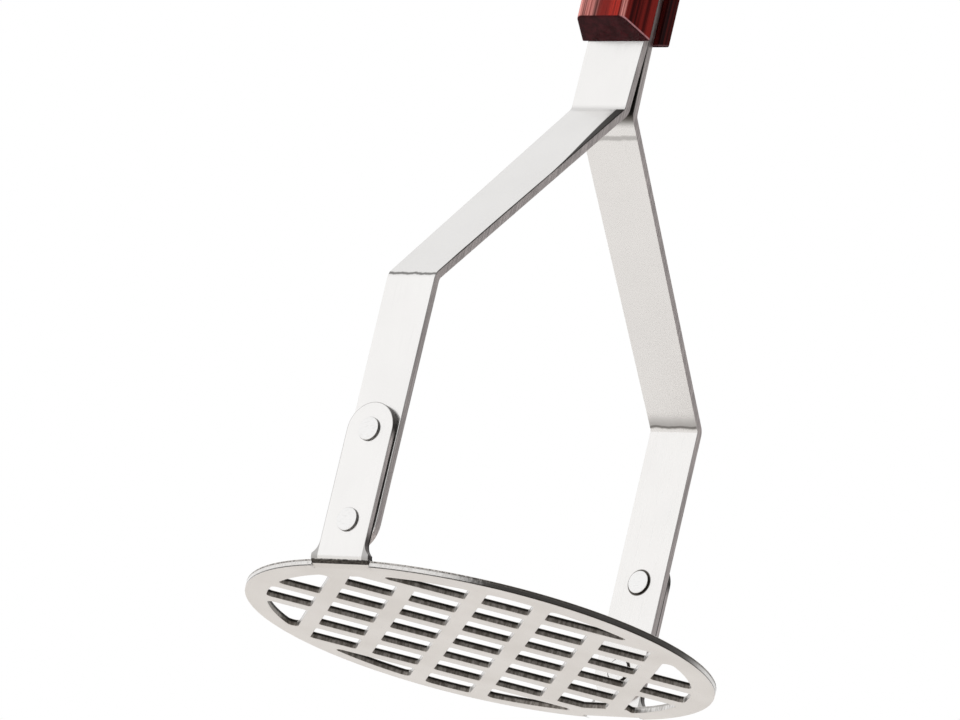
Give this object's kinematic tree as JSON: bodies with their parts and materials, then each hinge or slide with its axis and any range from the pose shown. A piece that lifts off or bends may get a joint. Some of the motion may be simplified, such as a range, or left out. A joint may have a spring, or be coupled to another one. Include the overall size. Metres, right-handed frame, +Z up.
{
  "type": "potato masher",
  "caption": "Riveted hand masher: round punched plate with bent-up tabs, a pair of bent strap arms, wooden scales on their tangs, and a hang hole.",
  "frame": {"origin": "centre of the mash plate's underside, on the surface that the masher stands on", "axes": "+Z up the handle; X across the two straps, from the left tab to the right tab; the straps are bent in the XZ plane"},
  "size_m": [0.12, 0.118, 0.2693],
  "materials": {
    "plate_steel": "satin stainless sheet",
    "strap_steel": "polished flat faces, sheared edges",
    "rivet_steel": "polished",
    "handle_wood": "gloss lacquered dark red wood",
    "handle_rivet_metal": "ground flush, satin"
  },
  "bodies": {
    "root": {"mash_plate": "plate_steel", "left_strap": "strap_steel", "right_strap": "strap_steel", "left_handle_scale": "handle_wood", "right_handle_scale": "handle_wood", "left_lower_tab_rivet": "rivet_steel", "left_upper_tab_rivet": "rivet_steel", "right_lower_tab_rivet": "rivet_steel", "right_upper_tab_rivet": "rivet_steel", "lower_handle_rivet_post": "handle_rivet_metal", "lower_handle_rivet_socket": "handle_rivet_metal", "middle_handle_rivet_post": "handle_rivet_metal", "middle_handle_rivet_socket": "handle_rivet_metal", "upper_handle_rivet_post": "handle_rivet_metal", "upper_handle_rivet_socket": "handle_rivet_metal"}
  },
  "joints": []
}
